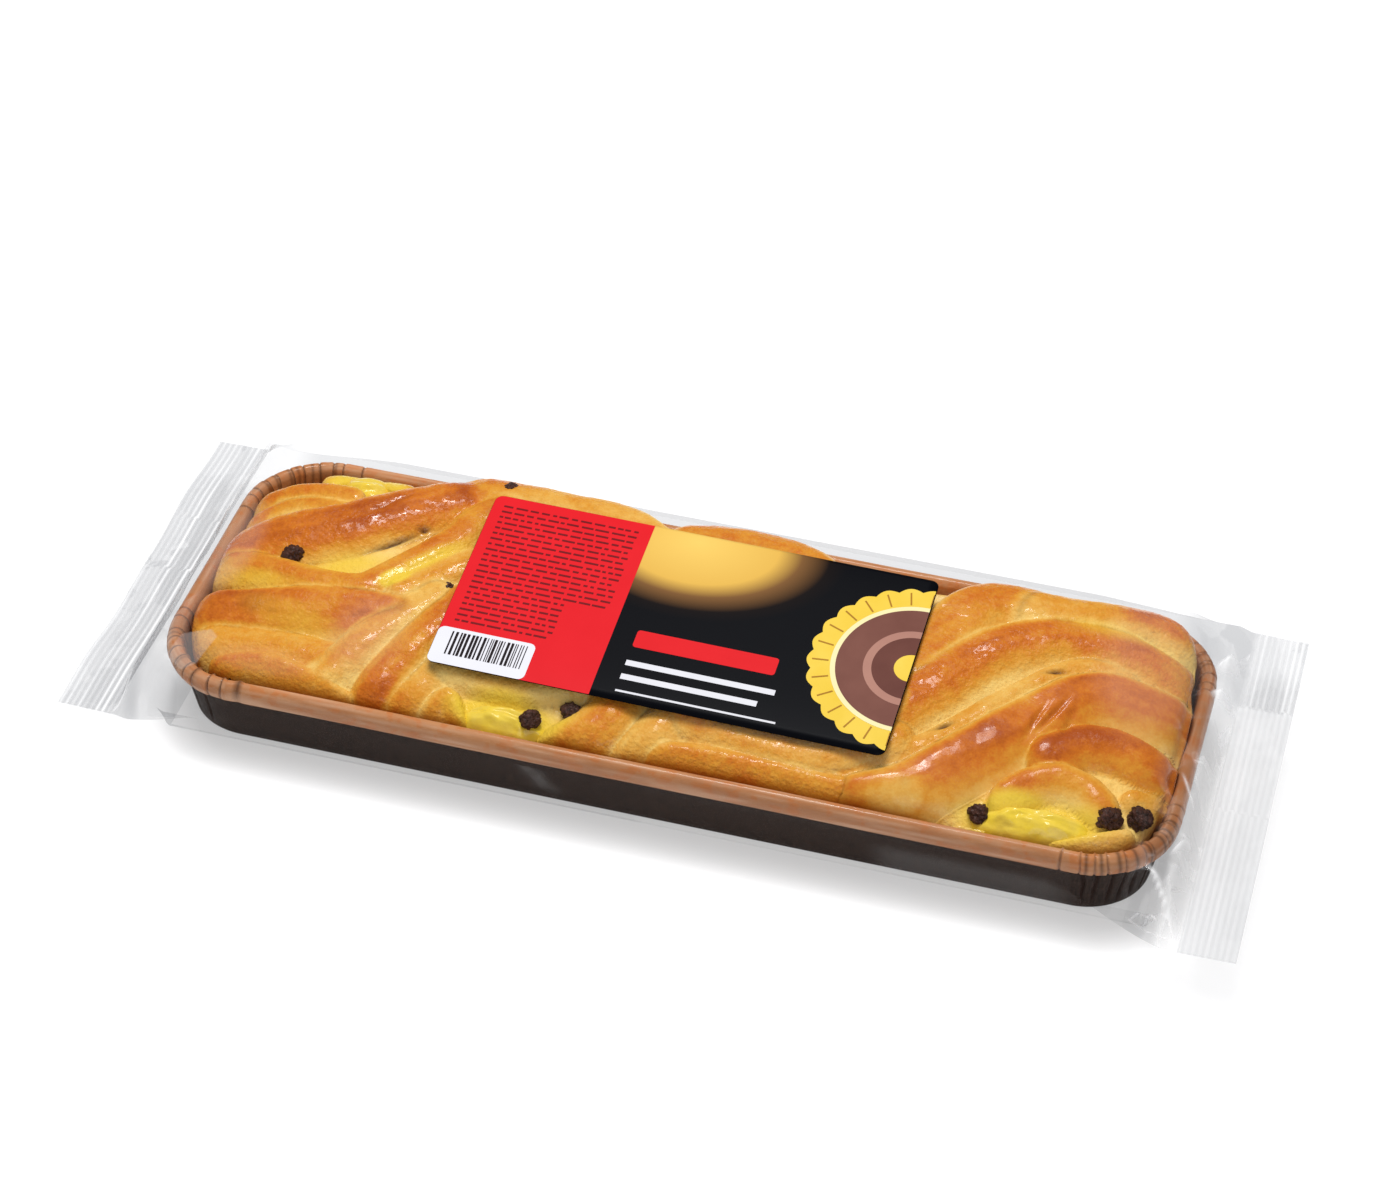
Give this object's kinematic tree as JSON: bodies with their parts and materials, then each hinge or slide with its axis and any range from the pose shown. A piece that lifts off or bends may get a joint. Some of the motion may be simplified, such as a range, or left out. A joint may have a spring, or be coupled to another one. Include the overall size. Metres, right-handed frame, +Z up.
{
  "type": "filled braided sweet bread",
  "caption": "Long braided sweet bread with custard and chocolate drops in a rolled-rim paper baking tray, sealed in a clear film bag with a label on top.",
  "frame": {"origin": "middle of the tray's underside, on the surface the pack rests on", "axes": "+X along the loaf to the right, +Y to the back, +Z up"},
  "size_m": [0.352, 0.14, 0.0452],
  "materials": {
    "tray": "greaseproof baking paper, copper brown rim and inside, dark brown outer wall",
    "loaf": "glazed golden brown crust with pale creases",
    "custard": "smooth shiny yellow cream",
    "chocolate": "rough dark chocolate, half melted",
    "film": "thin clear packing film with crimped ends",
    "label": "glossy printed label in black, red and yellow"
  },
  "bodies": {
    "root": {"tray": "tray", "loaf": "loaf", "custard": "custard", "choc_drop_01": "chocolate", "choc_drop_02": "chocolate", "choc_drop_03": "chocolate", "choc_drop_04": "chocolate", "choc_drop_05": "chocolate", "choc_drop_06": "chocolate", "choc_drop_07": "chocolate", "choc_drop_08": "chocolate", "film": "film", "label": "label"}
  },
  "joints": []
}
